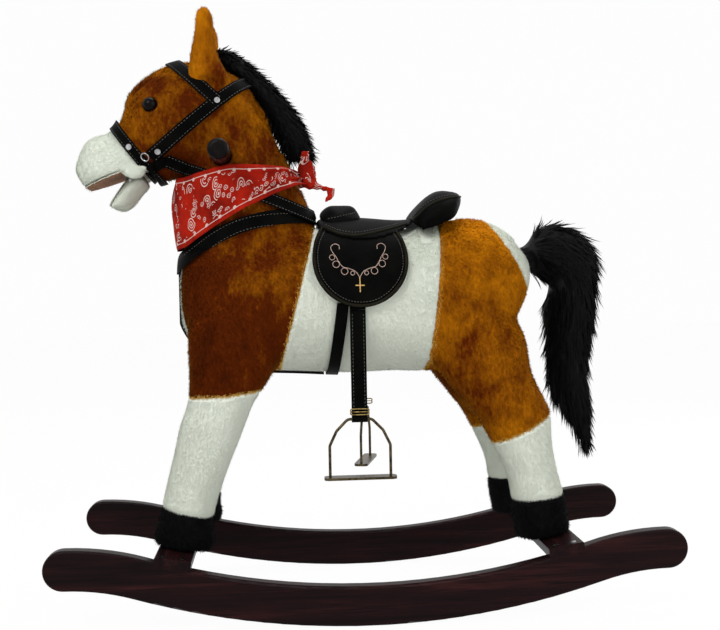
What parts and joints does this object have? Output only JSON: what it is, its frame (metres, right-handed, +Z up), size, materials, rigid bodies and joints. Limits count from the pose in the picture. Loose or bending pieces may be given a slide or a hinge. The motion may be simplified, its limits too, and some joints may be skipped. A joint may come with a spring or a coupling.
{
  "type": "rocking horse",
  "caption": "Plush rocking horse with saddle, bridle, stirrups and neck handle, standing on two bowed wooden rockers joined by cross slats.",
  "frame": {"origin": "on the floor under the middle of the rockers", "axes": "+Z up, +X towards the tail, +Y towards the horse's right side"},
  "size_m": [0.7398, 0.28, 0.727],
  "materials": {
    "dark_wood": "gloss",
    "raw_wood": "matte",
    "steel": "satin",
    "brown_plush": "matte",
    "white_plush": "matte",
    "black_plush": "matte",
    "mouth_felt": "matte",
    "eye_plastic": "gloss",
    "black_leather": "satin",
    "stirrup_brass": "satin",
    "red_cotton": "matte",
    "inner_plastic": "matte"
  },
  "bodies": {
    "horse": {"rocker_left": "dark_wood", "rocker_right": "dark_wood", "front_slat": "dark_wood", "rear_slat": "dark_wood", "handle_bar": "dark_wood", "spine_board": "raw_wood", "leg_posts": "raw_wood", "neck_post": "raw_wood", "slat_screws": "steel", "foot_screws": "steel", "bridle_metal": "steel", "forequarter": "brown_plush", "hindquarter": "brown_plush", "neck": "brown_plush", "head": "brown_plush", "ear_left": "brown_plush", "ear_right": "brown_plush", "front_leg_left": "brown_plush", "front_leg_right": "brown_plush", "hind_leg_left": "brown_plush", "hind_leg_right": "brown_plush", "barrel": "white_plush", "rump": "white_plush", "muzzle": "white_plush", "front_stockings": "white_plush", "hind_stockings": "white_plush", "front_hooves": "black_plush", "hind_hooves": "black_plush", "mane": "black_plush", "palate_lining": "mouth_felt", "eyes": "eye_plastic", "saddle_seat": "black_leather", "pommel": "black_leather", "cantle": "black_leather", "saddle_flap_left": "black_leather", "saddle_flap_right": "black_leather", "stirrup_billets": "black_leather", "girth": "black_leather", "breast_strap": "black_leather", "chest_strap": "black_leather", "browband": "black_leather", "cheek_straps": "black_leather", "poll_strap": "black_leather", "noseband": "black_leather", "reins": "black_leather", "bandana": "red_cotton", "bandana_knot": "red_cotton", "sound_box": "inner_plastic", "jaw_motor": "inner_plastic", "tail_motor": "inner_plastic", "ear_switch": "inner_plastic"},
    "jaw": {"lower_jaw": "white_plush", "jaw_lining": "mouth_felt", "jaw_spindle": "steel"},
    "tail_assembly": {"tail": "black_plush", "tail_spindle": "inner_plastic"},
    "left_strap": {"stirrup_strap_left": "black_leather"},
    "left_stirrup": {"stirrup_left": "stirrup_brass"},
    "right_strap": {"stirrup_strap_right": "black_leather"},
    "right_stirrup": {"stirrup_right": "stirrup_brass"}
  },
  "joints": [
    {"name": "jaw_hinge", "type": "hinge", "parent": "horse", "child": "jaw", "pos_m": [-0.278, 0, 0.52199], "axis": [0, 1, 0], "range_deg": [-3, 22]},
    {"name": "tail_wag", "type": "hinge", "parent": "horse", "child": "tail_assembly", "pos_m": [0.196, 0, 0.41799], "axis": [0, 0, 1], "range_deg": [-12, 12]},
    {"name": "stirrup_strap_left_swing", "type": "hinge", "parent": "horse", "child": "left_strap", "pos_m": [-0.008, -0.0889, 0.35799], "axis": [-1, 0, 0], "range_deg": [-8, 60]},
    {"name": "stirrup_left_swing", "type": "hinge", "parent": "left_strap", "child": "left_stirrup", "pos_m": [-0.008, -0.0889, 0.23099], "axis": [1, 0, 0], "range_deg": [-70, 70]},
    {"name": "stirrup_strap_right_swing", "type": "hinge", "parent": "horse", "child": "right_strap", "pos_m": [-0.008, 0.0889, 0.35799], "axis": [1, 0, 0], "range_deg": [-8, 60]},
    {"name": "stirrup_right_swing", "type": "hinge", "parent": "right_strap", "child": "right_stirrup", "pos_m": [0.012, 0.0889, 0.22099], "axis": [0.2419, 0.9703, 0], "range_deg": [-70, 70]}
  ]
}
